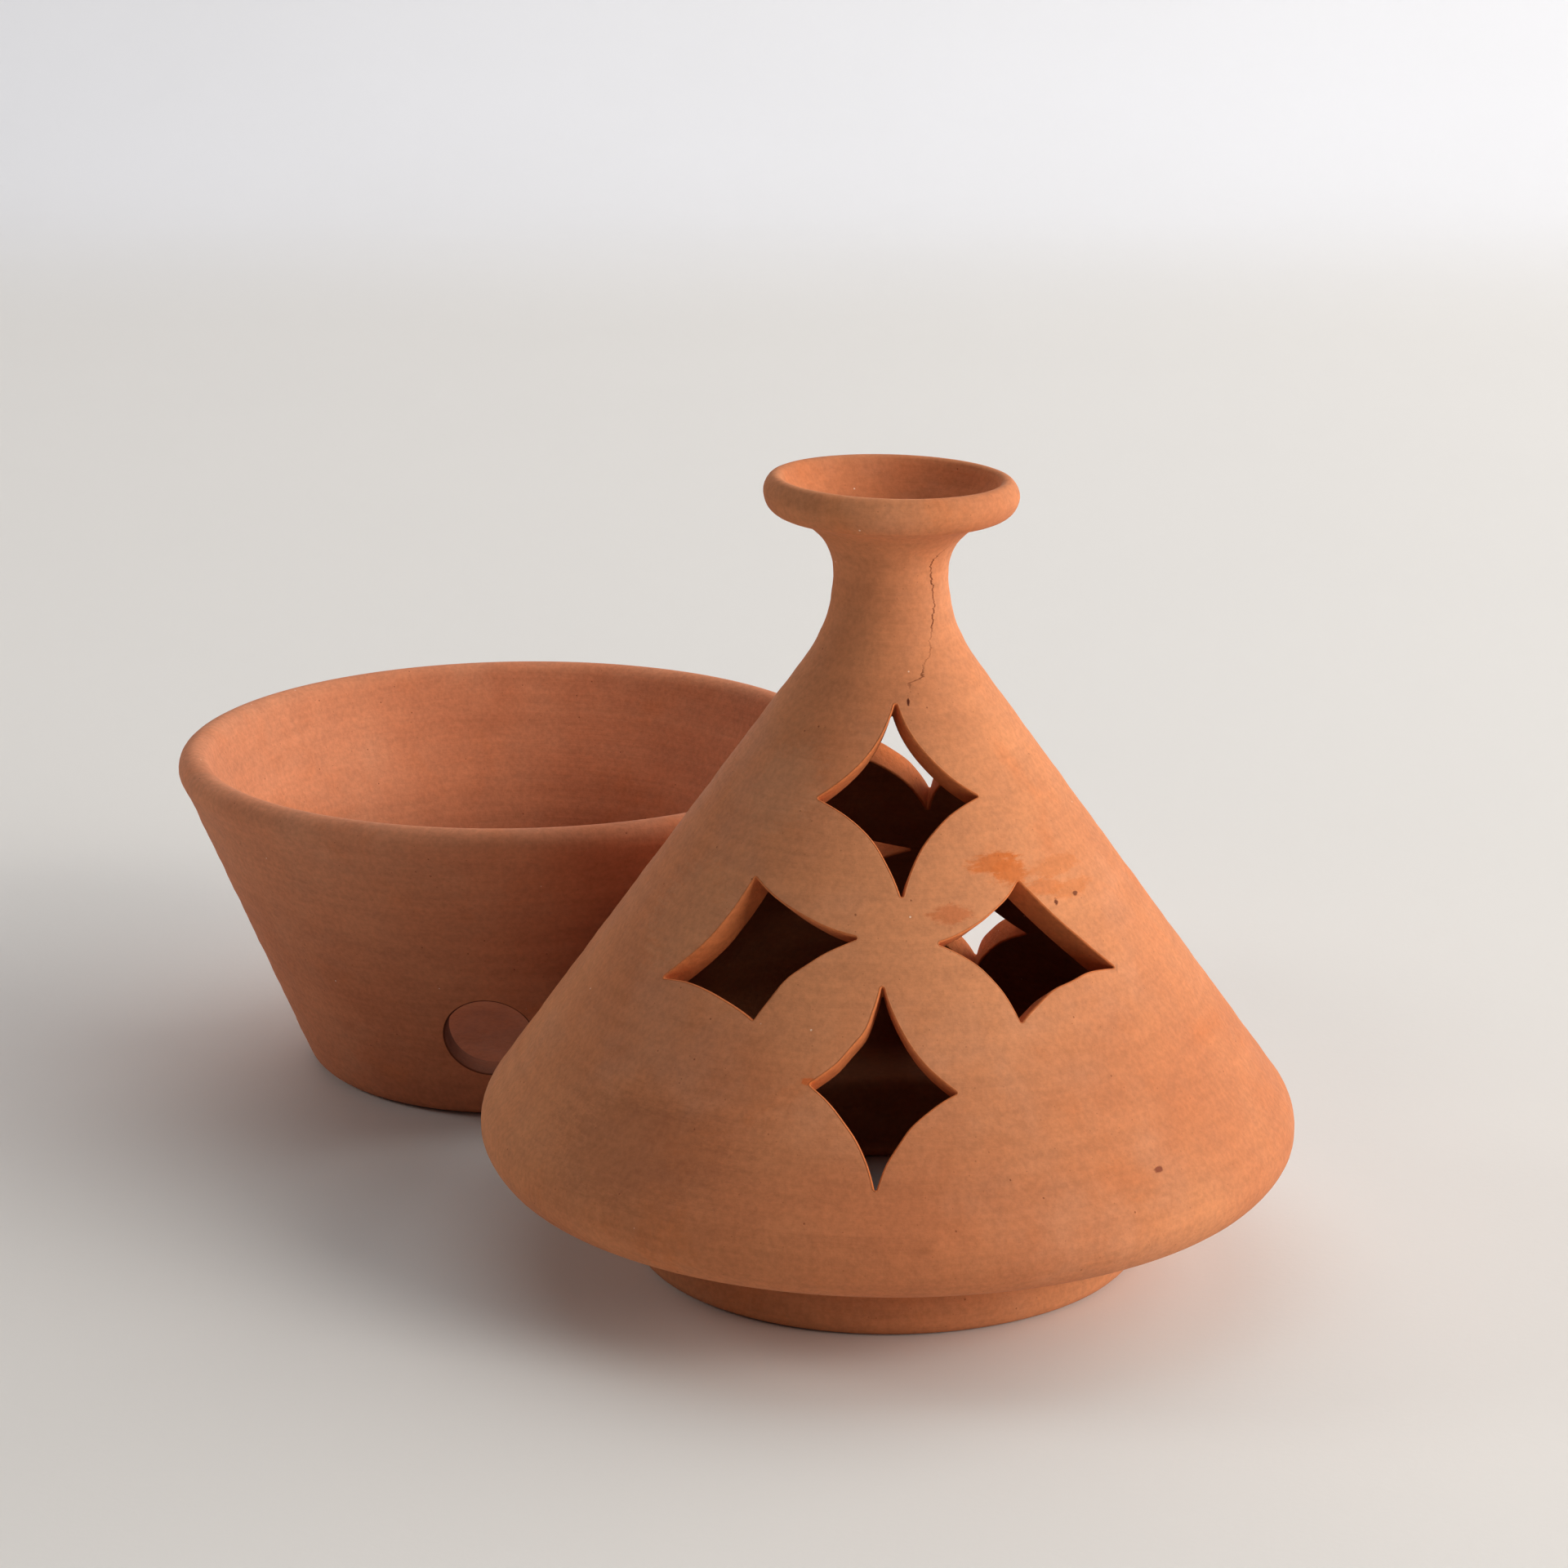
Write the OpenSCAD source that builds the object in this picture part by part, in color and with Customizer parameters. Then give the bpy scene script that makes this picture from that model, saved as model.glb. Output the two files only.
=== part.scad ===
// Two-piece pierced earthenware tagine lantern: an open bowl with a low vent hole,
// and a conical lid with star cut-outs, a pinched neck, a cup-shaped top and a
// locating ring underneath. Each piece is one solid of fired clay.
//
// Origin: centre of the underside of the bowl. +Z is up, the vent hole faces about -Y,
// and the lid stands on its ring beside the bowl, in front of it and to the right.
// Azimuths are in degrees from -Y, positive towards +X.

/* [Bowl] */
// Height of the bowl
bowl_h = 54.4; // [50:0.2:60]
// Outer radius of the wall just under the rim
bowl_rim_r = 56.4; // [54:0.2:57]
// Radius that the straight wall would have at the table
bowl_base_r = 35.6; // [33:0.2:36]
// Thickness of the wall, measured square to it
bowl_wall = 5; // [4:0.1:6]
// Thickness of the floor
bowl_floor = 6; // [5:0.1:8]
// Rounding of the bottom corner, outside
bowl_heel_r = 4; // [1:0.5:5]
// Rounding where the wall meets the floor, inside
bowl_well_r = 9; // [4:0.5:12]
// Diameter of the vent hole
vent_d = 14; // [8:0.5:18]
// Height of the vent hole's centre
vent_z = 16; // [15:0.5:24]
// Azimuth of the vent hole
vent_azimuth = -3; // [-30:1:30]

/* [Lid cone] */
// Largest radius of the lid, at the rounded edge of its flange
lid_r = 60; // [58:0.5:60]
// Half angle of the cone, from its axis
cone_angle = 35.6; // [33:0.1:37]
// Height at which the straight cone would come to a point
cone_apex_z = 106.6; // [104:0.2:108]
// Thickness of the cone's wall, measured square to it
lid_wall = 4.8; // [4:0.1:5.5]
// Radius of the rounded flange edge
flange_edge_r = 7; // [5:0.5:8]
// Slope of the flange's underside
flange_slope = 20; // [10:1:25]

/* [Lid ring] */
// Outer radius of the locating ring
ring_r = 38; // [36:0.5:40]
// Thickness of the ring
ring_wall = 6; // [5:0.5:8]
// Rounding of the ring's outer foot edge
ring_foot_r = 2.5; // [1:0.5:3]
// Height of the shelf inside the lid, between the ring and the cone
shelf_z = 13.5; // [13:0.5:16]

/* [Lid neck and cup] */
// Smallest radius of the neck, outside
neck_r = 8.2; // [7:0.1:9]
// Height of the narrowest place of the neck
neck_z = 102.3; // [101:0.1:103]
// Largest radius of the cup's rolled lip
cup_r = 18.2; // [17.5:0.1:19]
// Radius of the rolled lip's own cross-section
lip_r = 3.3; // [3:0.1:3.6]
// Height of the lid, to the top of the lip
lid_h = 116.6; // [116:0.1:118]
// Radius of the small rounding on the lip's crest
crest_r = 1.2; // [0.8:0.1:1.4]
// Radius of the hollow of the cup's dish
dish_r = 12.5; // [12.3:0.1:14]
// Radius of the chimney bore through the neck
bore_r = 3.5; // [3:0.1:4]

/* [Star cut-outs] */
// Azimuths of the middles of the two groups of four stars, front and back
group_azimuths = [0, 165];
// Upper star: tip-to-tip height, width, and how far each side bows in
upper_star = [28.4, 22.5, 1.8];
// Side stars: tip-to-tip height, width, and how far each side bows in
side_star = [21.2, 28.6, 1.2];
// Lower star: tip-to-tip height, width, and how far each side bows in
lower_star = [28.5, 20.4, 1.5];
// Heights of the upper, side and lower stars' centres, in the front and the back group
star_z = [[75, 55.4, 41], [73, 50, 38]];
// Azimuth of the side stars from the middle of their group
side_star_azimuth = 31; // [28:1:34]
// Azimuths of the upper and lower stars from the middle of the front and the back group
mid_star_azimuths = [[2, -2.8], [2, 0]];

/* [Layout] */
// Where the lid stands, from the bowl's centre
lid_at = [60.5, -85.8];

/* [Hidden] */
$fn = 96;

CLAY = "#C67A4E";
CLAY_LIGHT = "#D08A5C";

ARC_STEPS = 10;
STAR_SIDE_STEPS = 6;
PASS = 20;          // how far a cutter runs past what it cuts
FOOT_INNER_R = 1.5; // rounding of the ring's inner foot edge

// Points along an arc about c, from angle a0 to angle a1, leaving out the first few.
function arc(c, r, a0, a1, skip = 0) = [
    for (i = [skip:ARC_STEPS])
        let (a = a0 + (a1 - a0) * i / ARC_STEPS)
            c + r * [cos(a), sin(a)]
];

// ---- Bowl: a straight flared wall between a rounded heel and a rounded rim.
bowl_rim_tube_r = bowl_wall / 2 + 0.2;
bowl_slope = (bowl_rim_r - bowl_base_r) / (bowl_h - bowl_rim_tube_r);
bowl_flare = atan(bowl_slope);
bowl_wall_across = bowl_wall / cos(bowl_flare);
bowl_heel_c = [
    bowl_base_r + bowl_slope * bowl_heel_r - bowl_heel_r / cos(bowl_flare),
    bowl_heel_r
];
bowl_well_c = [
    bowl_base_r - bowl_wall_across + bowl_slope * (bowl_floor + bowl_well_r)
        - bowl_well_r / cos(bowl_flare),
    bowl_floor + bowl_well_r
];
bowl_rim_c = [bowl_rim_r - bowl_rim_tube_r, bowl_h - bowl_rim_tube_r];

bowl_outline = concat(
    [[0, 0]],
    arc(bowl_heel_c, bowl_heel_r, -90, -bowl_flare),
    arc(bowl_rim_c, bowl_rim_tube_r, -bowl_flare, 180 - bowl_flare),
    arc(bowl_well_c, bowl_well_r, -bowl_flare, -90),
    [[0, bowl_floor]]
);

module bowl() {
    color(CLAY)
    difference() {
        rotate_extrude() polygon(bowl_outline);
        rotate([0, 0, vent_azimuth])
        translate([0, -bowl_base_r + PASS, vent_z])
        rotate([90, 0, 0])
            cylinder(d = vent_d, h = 2 * PASS);
    }
}

// ---- Lid: cone radius at a height, and the arcs that round its outline off.
function cone_r(z) = (cone_apex_z - z) * tan(cone_angle);

wall_across = lid_wall / cos(cone_angle);
// The flange edge touches both the cone and the largest radius.
edge_c = [
    lid_r - flange_edge_r,
    cone_apex_z - (lid_r - flange_edge_r + flange_edge_r / cos(cone_angle)) / tan(cone_angle)
];
// The neck's long hollow curve touches the cone and is narrowest at neck_z.
neck_hollow_r = (neck_r - cone_r(neck_z)) / (1 / cos(cone_angle) - 1);
neck_c = [neck_r + neck_hollow_r, neck_z];
// The rolled lip is round outside and rises to a narrow crest nearer its outer side.
LIP_END = 40;
CREST_END = 140;
crest_reach = lip_r - crest_r;
lip_c = [cup_r - lip_r, lid_h - crest_r - crest_reach * sin(LIP_END)];
crest_c = lip_c + crest_reach * [cos(LIP_END), sin(LIP_END)];
crest_inner = crest_c + crest_r * [cos(CREST_END), sin(CREST_END)];
// The flare leaves the neck upright and touches the underside of the lip.
flare_r = (pow(norm([neck_r, neck_z] - lip_c), 2) - pow(lip_r, 2))
    / (2 * (lip_r + lip_c.x - neck_r));
flare_c = [neck_r + flare_r, neck_z];
flare_end = atan2(lip_c.y - flare_c.y, lip_c.x - flare_c.x);

// Inside: the shelf over the ring, the cone, the bore and the dish of the cup.
shelf_corner_r = 6;
shelf_c = [
    cone_r(shelf_z + shelf_corner_r) - wall_across - shelf_corner_r / cos(cone_angle),
    shelf_z + shelf_corner_r
];
bore_start_z = cone_apex_z - (bore_r + wall_across) / tan(cone_angle);
dish_start = acos((crest_inner.x - bore_r) / dish_r);
dish_c = [bore_r, crest_inner.y + dish_r * sin(dish_start)];
ring_inner_r = ring_r - ring_wall;
underside_z = edge_c.y - flange_edge_r * cos(flange_slope)
    - (edge_c.x + flange_edge_r * sin(flange_slope) - ring_r) * tan(flange_slope);

lid_outline = concat(
    arc([ring_inner_r + FOOT_INNER_R, FOOT_INNER_R], FOOT_INNER_R, 180, 270),
    arc([ring_r - ring_foot_r, ring_foot_r], ring_foot_r, -90, 0),
    [[ring_r, underside_z]],
    arc(edge_c, flange_edge_r, flange_slope - 90, cone_angle),
    arc(neck_c, neck_hollow_r, 180 + cone_angle, 180),
    arc(flare_c, flare_r, 180, flare_end, skip = 1),
    arc(lip_c, lip_r, flare_end - 180, LIP_END, skip = 1),
    arc(crest_c, crest_r, LIP_END, CREST_END, skip = 1),
    arc(dish_c, dish_r, -dish_start, -90, skip = 1),
    [[bore_r, bore_start_z]],
    arc(shelf_c, shelf_corner_r, cone_angle, -90),
    [[ring_inner_r + 2, shelf_z], [ring_inner_r, shelf_z - 2]]
);

// A four-pointed star in the XY plane, h tall and w wide, with sides bowed in.
module star_2d(h, w, bow) {
    tips = [[0, h / 2], [w / 2, 0], [0, -h / 2], [-w / 2, 0]];
    polygon([
        for (side = [0:3], i = [0:STAR_SIDE_STEPS - 1])
            let (
                a = tips[side],
                b = tips[(side + 1) % 4],
                t = i / STAR_SIDE_STEPS,
                inward = -(a + b) / norm(a + b)
            )
                a + (b - a) * t + inward * bow * 4 * t * (1 - t)
    ]);
}

// Cutter for one star, square to the cone at the given azimuth and height.
module star_cutter(azimuth, z, size, roll) {
    rotate([0, 0, azimuth])
    translate([0, -cone_r(z), z])
    rotate([90 - cone_angle, 0, 0])
    rotate([0, 0, roll])
    translate([0, 0, -lid_wall - 4])
    linear_extrude(height = lid_wall + 8)
        star_2d(size[0], size[1], size[2]);
}

// Four stars in a diamond. On the cone laid out flat, all four stand parallel.
module star_group(middles, z) {
    side_roll = side_star_azimuth * sin(cone_angle);
    star_cutter(middles[0], z[0], upper_star, 0);
    star_cutter(middles[1], z[2], lower_star, 0);
    for (s = [-1, 1])
        star_cutter(s * side_star_azimuth, z[1], side_star, -s * side_roll);
}

module lid() {
    color(CLAY_LIGHT)
    translate([lid_at.x, lid_at.y, 0])
    difference() {
        rotate_extrude() polygon(lid_outline);
        for (g = [0, 1])
            rotate([0, 0, group_azimuths[g]]) star_group(mid_star_azimuths[g], star_z[g]);
    }
}

bowl();
lid();
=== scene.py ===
import math

import bpy
import numpy as np
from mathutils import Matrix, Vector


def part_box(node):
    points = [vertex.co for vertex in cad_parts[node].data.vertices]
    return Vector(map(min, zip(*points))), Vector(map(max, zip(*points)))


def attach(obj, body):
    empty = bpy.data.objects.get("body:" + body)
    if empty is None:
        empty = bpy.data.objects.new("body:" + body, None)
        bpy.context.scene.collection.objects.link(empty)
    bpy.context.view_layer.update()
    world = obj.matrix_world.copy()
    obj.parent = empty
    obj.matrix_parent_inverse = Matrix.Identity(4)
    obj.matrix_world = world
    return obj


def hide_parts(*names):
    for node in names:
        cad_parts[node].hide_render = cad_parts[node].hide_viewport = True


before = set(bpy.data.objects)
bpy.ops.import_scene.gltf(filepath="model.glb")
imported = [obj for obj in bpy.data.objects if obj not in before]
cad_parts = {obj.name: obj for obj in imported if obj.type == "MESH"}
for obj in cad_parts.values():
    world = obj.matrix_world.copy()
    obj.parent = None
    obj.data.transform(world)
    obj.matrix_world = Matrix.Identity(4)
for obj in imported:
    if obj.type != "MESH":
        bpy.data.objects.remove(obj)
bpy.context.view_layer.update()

# ======================================================================================
# Bowl.
# A straight-sided bowl thrown in red earthenware, wiped smooth and fired without glaze.
# The rim is rolled over with a wet leather, and one vent hole is bored low in the wall
# while the clay is firm, so that air reaches the flame inside.
# ======================================================================================
MM = 0.001

bowl_low, bowl_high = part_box("bowl")
BOWL_H = bowl_high.z / MM
BOWL_RIM_R = 56.4
BOWL_BASE_R = 35.6
BOWL_WALL = 5.0
BOWL_FLOOR = 6.0
BOWL_HEEL_R = 4.0
BOWL_WELL_R = 9.0
VENT_R = 7.0
VENT_Z = 16.0
VENT_AZIMUTH = math.radians(-3)


def line(start, end, step):
    """Points evenly spaced on the straight line from start to end, without end."""
    start, end = np.array(start, float), np.array(end, float)
    count = max(1, round(np.linalg.norm(end - start) / step))
    t = np.arange(count)[:, None] / count
    return start + (end - start) * t


def arc(centre, radius, first, last, step):
    """Points evenly spaced on a circle's arc between two angles in degrees, without the last:
    centre + radius * (cos a, sin a)."""
    first, last = math.radians(first), math.radians(last)
    count = max(2, round(abs(last - first) * radius / step))
    a = first + (last - first) * np.arange(count) / count
    return np.array(centre, float) + radius * np.stack([np.cos(a), np.sin(a)], 1)


def turned(centre, radius, angle):
    """The point of a circle at an angle in degrees."""
    a = math.radians(angle)
    return (centre[0] + radius * math.cos(a), centre[1] + radius * math.sin(a))


def wrapped(angle):
    """The same angle between minus half a turn and plus half a turn."""
    return (angle + math.pi) % (2 * math.pi) - math.pi


def columns(count, middles, half_span, share):
    """Azimuths all the way round, in order. A share of them is spread evenly over the spans
    that reach half_span to each side of the middles, and the rest over what is left: equal
    steps of the running total of a density, which changes within about two degrees."""
    a = np.linspace(-math.pi, math.pi, 7201)
    apart = np.abs(wrapped(a[:, None] - np.array(middles))).min(1)
    inside = 1 / (1 + np.exp((apart - half_span) / math.radians(1)))
    spanned = inside.mean()
    density = share * inside / spanned + (1 - share) * (1 - inside) / (1 - spanned)
    total = np.concatenate([[0], np.cumsum((density[1:] + density[:-1]) / 2)])
    return np.interp(np.arange(count) / count, total / total[-1], a)


def spun(r, z, azimuth):
    """A point at radius r, height z and azimuth a from the front: (r sin a, -r cos a, z)."""
    return np.stack([r * np.sin(azimuth), -r * np.cos(azimuth), z + 0 * azimuth], -1)


TIP_REPEATS = 9


def fanned(loop, turn_from):
    """Unit normals of a closed loop of points, clockwise seen from outside, and the loop with
    each sharp corner repeated while its normal fans round: normal = (dy, -dx) turned outward."""
    ahead = np.roll(loop, -1, 0) - loop
    ahead /= np.linalg.norm(ahead, axis=1)[:, None]
    behind = np.roll(ahead, 1, 0)
    n_out = np.stack([-ahead[:, 1], ahead[:, 0]], 1)
    n_in = np.stack([-behind[:, 1], behind[:, 0]], 1)
    turn = np.arccos(np.clip((n_out * n_in).sum(1), -1, 1))
    repeats = np.where(turn > turn_from, TIP_REPEATS, 1)
    which = np.repeat(np.arange(len(loop)), repeats)
    place = np.arange(len(which)) - np.repeat(np.cumsum(repeats) - repeats, repeats)
    share = np.where(repeats[which] > 1, place / np.maximum(repeats[which] - 1, 1), 0.5)
    normal = n_in[which] * (1 - share)[:, None] + n_out[which] * share[:, None]
    normal /= np.linalg.norm(normal, axis=1)[:, None]
    return loop[which], normal


class Wall:
    """The straight part of a turned wall, laid out flat. A point is given by its azimuth and
    its distance from the cone's apex, and lies in the plane at that distance and at the
    azimuth times the sine of the half angle."""

    REACH = 14.0
    HALVINGS = 36

    def __init__(self, low, high, inner_r, square_on):
        self.slope = (high[0] - low[0]) / (high[1] - low[1])
        self.up = 1 if self.slope > 0 else -1
        self.half = math.atan(abs(self.slope))
        self.apex = low[1] - low[0] / self.slope
        self.inner_r = inner_r
        self.square_on = square_on

    def far(self, z):
        """Distance from the apex of the wall's ring at height z."""
        return np.abs(z - self.apex) / math.cos(self.half)

    def point(self, azimuth, far):
        """The place in space of a point of the outer face."""
        r = far * math.sin(self.half)
        return spun(r, self.apex + self.up * far * math.cos(self.half), azimuth)

    def flat(self, azimuth, far, hole):
        """The place in the flat layout, from a hole's middle, with up towards the top."""
        turn = wrapped(azimuth - hole["azimuth"]) * math.sin(self.half)
        up = self.up * (far * np.cos(turn) - hole["far"])
        return np.stack([far * np.sin(turn), up], -1)

    def unflat(self, uv, hole):
        """Azimuth and distance from the apex of a place in the flat layout."""
        y = hole["far"] + self.up * uv[..., 1]
        turn = np.arctan2(uv[..., 0], y)
        return hole["azimuth"] + turn / math.sin(self.half), np.hypot(uv[..., 0], y)

    def outward(self, azimuth):
        """Default direction of a cut: square to the wall, or level where square_on is false."""
        tilt = -self.up * self.half if self.square_on else 0.0
        c, s = math.cos(tilt), math.sin(tilt)
        return np.stack([c * np.sin(azimuth), -c * np.cos(azimuth), s + 0 * azimuth], -1)

    def inside(self, points, direction):
        """Where the line from each outer point, against its direction, meets the inner face:
        bisection on radius minus the inner face's radius at that height."""
        near, away = np.zeros(points.shape[:-1]), np.full(points.shape[:-1], self.REACH)
        for _ in range(self.HALVINGS):
            middle = (near + away) / 2
            p = points - direction * middle[..., None]
            outside = np.hypot(p[..., 0], p[..., 1]) > self.inner_r(p[..., 2])
            near, away = np.where(outside, middle, near), np.where(outside, away, middle)
        return points - direction * middle[..., None]


TIP_ROUND = 0.15        # how far a cut-out's tip is rounded
EDGE_ROUND = 0.35       # how far the edge of a cut is rounded over
SNAP_SHARE = 0.52       # grid points this share of a cell from an edge move onto it
SPACING_ROUNDS = 60     # rounds of spacing points out along an edge
SPREAD_ROUNDS = 30      # rounds of spreading their moves to the grid around them
STEER_REACH = 5.0       # distance from a hole where the knife's direction counts half
FADE_ROWS = 4           # rows over which that ends at the zone's top and bottom


def nearest(points, loop):
    """For each point, the place on a closed loop that is nearest, as an index with a fraction,
    and the distance to it, negative inside the loop."""
    start, end = loop, np.roll(loop, -1, 0)
    along = end - start
    size = np.maximum((along**2).sum(1), 1e-12)
    offset = points[:, None] - start
    t = np.clip((offset * along).sum(2) / size, 0, 1)
    gap = ((offset - along * t[..., None]) ** 2).sum(2)
    best = gap.argmin(1)
    rows = np.arange(len(points))
    above = start[:, 1] > points[:, 1:2]
    crosses = above != (end[:, 1] > points[:, 1:2])
    x = start[:, 0] + (points[:, 1:2] - start[:, 1]) * along[:, 0] / np.where(
        along[:, 1] == 0, 1e-9, along[:, 1]
    )
    inside = (crosses & (points[:, 0:1] < x)).sum(1) % 2 == 1
    distance = np.sqrt(gap[rows, best])
    return best + t[rows, best], np.where(inside, -distance, distance)


def on_loop(values, place):
    """Values of a closed loop at fractional places, by straight-line interpolation."""
    low = np.floor(place).astype(int) % len(values)
    t = (place - np.floor(place))[:, None]
    return values[low] * (1 - t) + values[(low + 1) % len(values)] * t


def pierced(outline, first, last, wall, azimuths, holes, rings=4):
    """A closed turned shell with holes cut through its straight wall.

    outline is the closed profile. Its rows first to last run up the straight outer face, and
    the rows listed in wall["inner"] run as many steps down the inner face. Grid points near
    a hole's rounded edge are moved onto it and spaced out along it, their neighbours follow,
    and the cells inside are left out. A strip then rounds the edge over, runs through the
    wall along the knife's direction and rounds the inner edge.
    Returns points, triangles and a mark for each point: 1 on a cut face, 0 elsewhere."""
    face = wall["face"]
    points = spun(outline[:, :1], outline[:, 1:], azimuths[None])
    count = len(azimuths)
    rows = np.arange(first, last + 1)
    inner_rows = wall["inner"][::-1]
    az = np.tile(azimuths, (len(rows), 1)).ravel()
    far = np.repeat(face.far(outline[rows, 1]), count)
    size = len(az)
    gap = wrapped(np.roll(azimuths, -1) - azimuths)
    col_step = np.tile(np.maximum(gap, np.roll(gap, 1)), len(rows)) * far * math.sin(face.half)
    snap = SNAP_SHARE * np.maximum(np.abs(np.diff(far[::count])).max(), col_step)
    state, owner = np.ones(size, int), np.zeros(size, int)
    place = np.zeros(size)
    levels = [h["base"] + h["normal"] * (TIP_ROUND + EDGE_ROUND) for h in holes]
    aim, steer, pull = face.outward(az), np.zeros((size, 3)), np.zeros(size)
    for h, (hole, level) in enumerate(zip(holes, levels)):
        flat = face.flat(az, far, hole)
        near = np.nonzero((np.abs(flat) < np.abs(level).max() + 9).all(1))[0]
        spot, distance = nearest(flat[near], level)
        on = np.abs(distance) < snap[near]
        state[near] = np.where(on, 0, np.where(distance < 0, -1, state[near]))
        place[near[on]], owner[near[on]] = spot[on], h
        weight = np.where(on, 1e6, 1 / np.maximum(np.abs(distance), 0.02) ** 2)
        steer[near] += hole["knife"] * weight[:, None]
        pull[near] += weight

    # Triangles of the pierced zone. Cells cut by an edge are split along it.
    i, j = np.meshgrid(np.arange(len(rows) - 1), np.arange(count), indexing="ij")
    i, j = i.ravel(), j.ravel()
    k = (j + 1) % count
    corner = np.stack([i * count + j, i * count + k, (i + 1) * count + k, (i + 1) * count + j], 1)
    s = state[corner]
    other = ((s[:, 1] == 0) & (s[:, 3] == 0) & (np.minimum(s[:, 0], s[:, 2]) < 0))[:, None]
    zone = np.concatenate([
        np.where(other, corner[:, [0, 1, 3]], corner[:, [0, 1, 2]]),
        np.where(other, corner[:, [1, 2, 3]], corner[:, [0, 2, 3]]),
    ])
    keep = (state[zone] >= 0).all(1)
    doubt = np.nonzero((state[zone] == 0).all(1))[0]
    for h, (hole, level) in enumerate(zip(holes, levels)):
        mine = doubt[(owner[zone[doubt]] == h).all(1)]
        keep[mine] = nearest(on_loop(level, place[zone[mine]].ravel()).reshape(-1, 3, 2).mean(1),
                             level)[1] > 0
    zone = zone[keep]

    # The edges that only one kept triangle has go round the holes. Their points are spaced
    # out along the outline, with one held at each tip.
    edges = np.concatenate([zone[:, [0, 1]], zone[:, [1, 2]], zone[:, [2, 0]]])
    there, back = edges[:, 0] * size + edges[:, 1], edges[:, 1] * size + edges[:, 0]
    rim = edges[~np.isin(there, back)]
    rim = rim[(state[rim] == 0).all(1)]
    after, before = np.zeros(size, int), np.zeros(size, int)
    after[rim[:, 0]], before[rim[:, 1]] = rim[:, 1], rim[:, 0]
    ids = np.unique(rim)
    fixed = np.zeros(size, bool)
    for h, hole in enumerate(holes):
        mine = ids[owner[ids] == h]
        length = len(hole["base"])
        for tip in hole["tips"]:
            apart = np.abs((place[mine] - tip + length / 2) % length - length / 2)
            place[mine[apart.argmin()]] = tip
            fixed[mine[apart.argmin()]] = True
        loose = mine[~fixed[mine]]
        for _ in range(SPACING_ROUNDS):
            ahead = (place[after[loose]] - place[loose] + length / 2) % length - length / 2
            behind = (place[before[loose]] - place[loose] + length / 2) % length - length / 2
            place[loose] = (place[loose] + (ahead + behind) / 4) % length
    moved = np.zeros((size, 2))
    for h, (hole, level) in enumerate(zip(holes, levels)):
        mine = ids[owner[ids] == h]
        new_az, new_far = face.unflat(on_loop(level, place[mine]), hole)
        moved[mine] = np.stack([wrapped(new_az - az[mine]), new_far - far[mine]], 1)
    held = np.zeros(size, bool)
    held[ids] = True
    held, moved = held.reshape(-1, count, 1), moved.reshape(-1, count, 2)
    for _ in range(SPREAD_ROUNDS):
        spread = (
            np.roll(moved, 1, 1) + np.roll(moved, -1, 1)
            + np.pad(moved, ((1, 0), (0, 0), (0, 0)))[:-1]
            + np.pad(moved, ((0, 1), (0, 0), (0, 0)))[1:]
        ) / 4
        moved = np.where(held, moved, spread)
    az, far = az + moved[..., 0].ravel(), far + moved[..., 1].ravel()
    end = np.minimum(np.arange(len(rows)), np.arange(len(rows))[::-1])
    fade = np.repeat(np.minimum(1, end / FADE_ROWS), count)[:, None]
    own = 1 / STEER_REACH**2
    aim = (aim * own + steer * fade) / (own + pull[:, None] * fade)
    aim /= np.linalg.norm(aim, axis=1)[:, None]
    outer = face.point(az, far)
    points[rows] = outer.reshape(-1, count, 3)
    points[inner_rows] = face.inside(outer, aim).reshape(-1, count, 3)

    # The strip through each hole.
    a, b = np.searchsorted(ids, rim).T
    a_side, b_side = np.zeros((rings, len(ids), 3)), np.zeros((rings, len(ids), 3))
    turn = np.linspace(0, math.pi / 2, rings + 1)[1:]
    for h, hole in enumerate(holes):
        mine = np.nonzero(owner[ids] == h)[0]
        base, normal = (on_loop(hole[key], place[ids[mine]]) for key in ("base", "normal"))
        normal /= np.linalg.norm(normal, axis=1)[:, None]
        for n, angle in enumerate(turn):
            off = TIP_ROUND + EDGE_ROUND * (1 - math.sin(angle))
            outer_at = face.point(*face.unflat(base + normal * off, hole))
            inner_at = face.inside(outer_at, np.broadcast_to(hole["knife"], outer_at.shape))
            through = inner_at - outer_at
            depth = EDGE_ROUND * (1 - math.cos(angle)) / np.linalg.norm(through, axis=1)
            a_side[n, mine] = outer_at + through * depth[:, None]
            b_side[n, mine] = inner_at - through * depth[:, None]
    strip = np.concatenate([a_side, b_side[::-1]])
    first_new = len(outline) * count
    ring_ids = first_new + np.arange(len(strip) * len(ids)).reshape(len(strip), len(ids))
    row, col = np.divmod(ids, count)
    ladder = np.concatenate([
        (rows[row] * count + col)[None], ring_ids, (inner_rows[row] * count + col)[None]
    ])
    strip_tris = [
        np.concatenate([
            np.stack([up[b], up[a], down[a]], 1),
            np.stack([up[b], down[a], down[b]], 1),
        ])
        for up, down in zip(ladder[:-1], ladder[1:])
    ]

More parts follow.
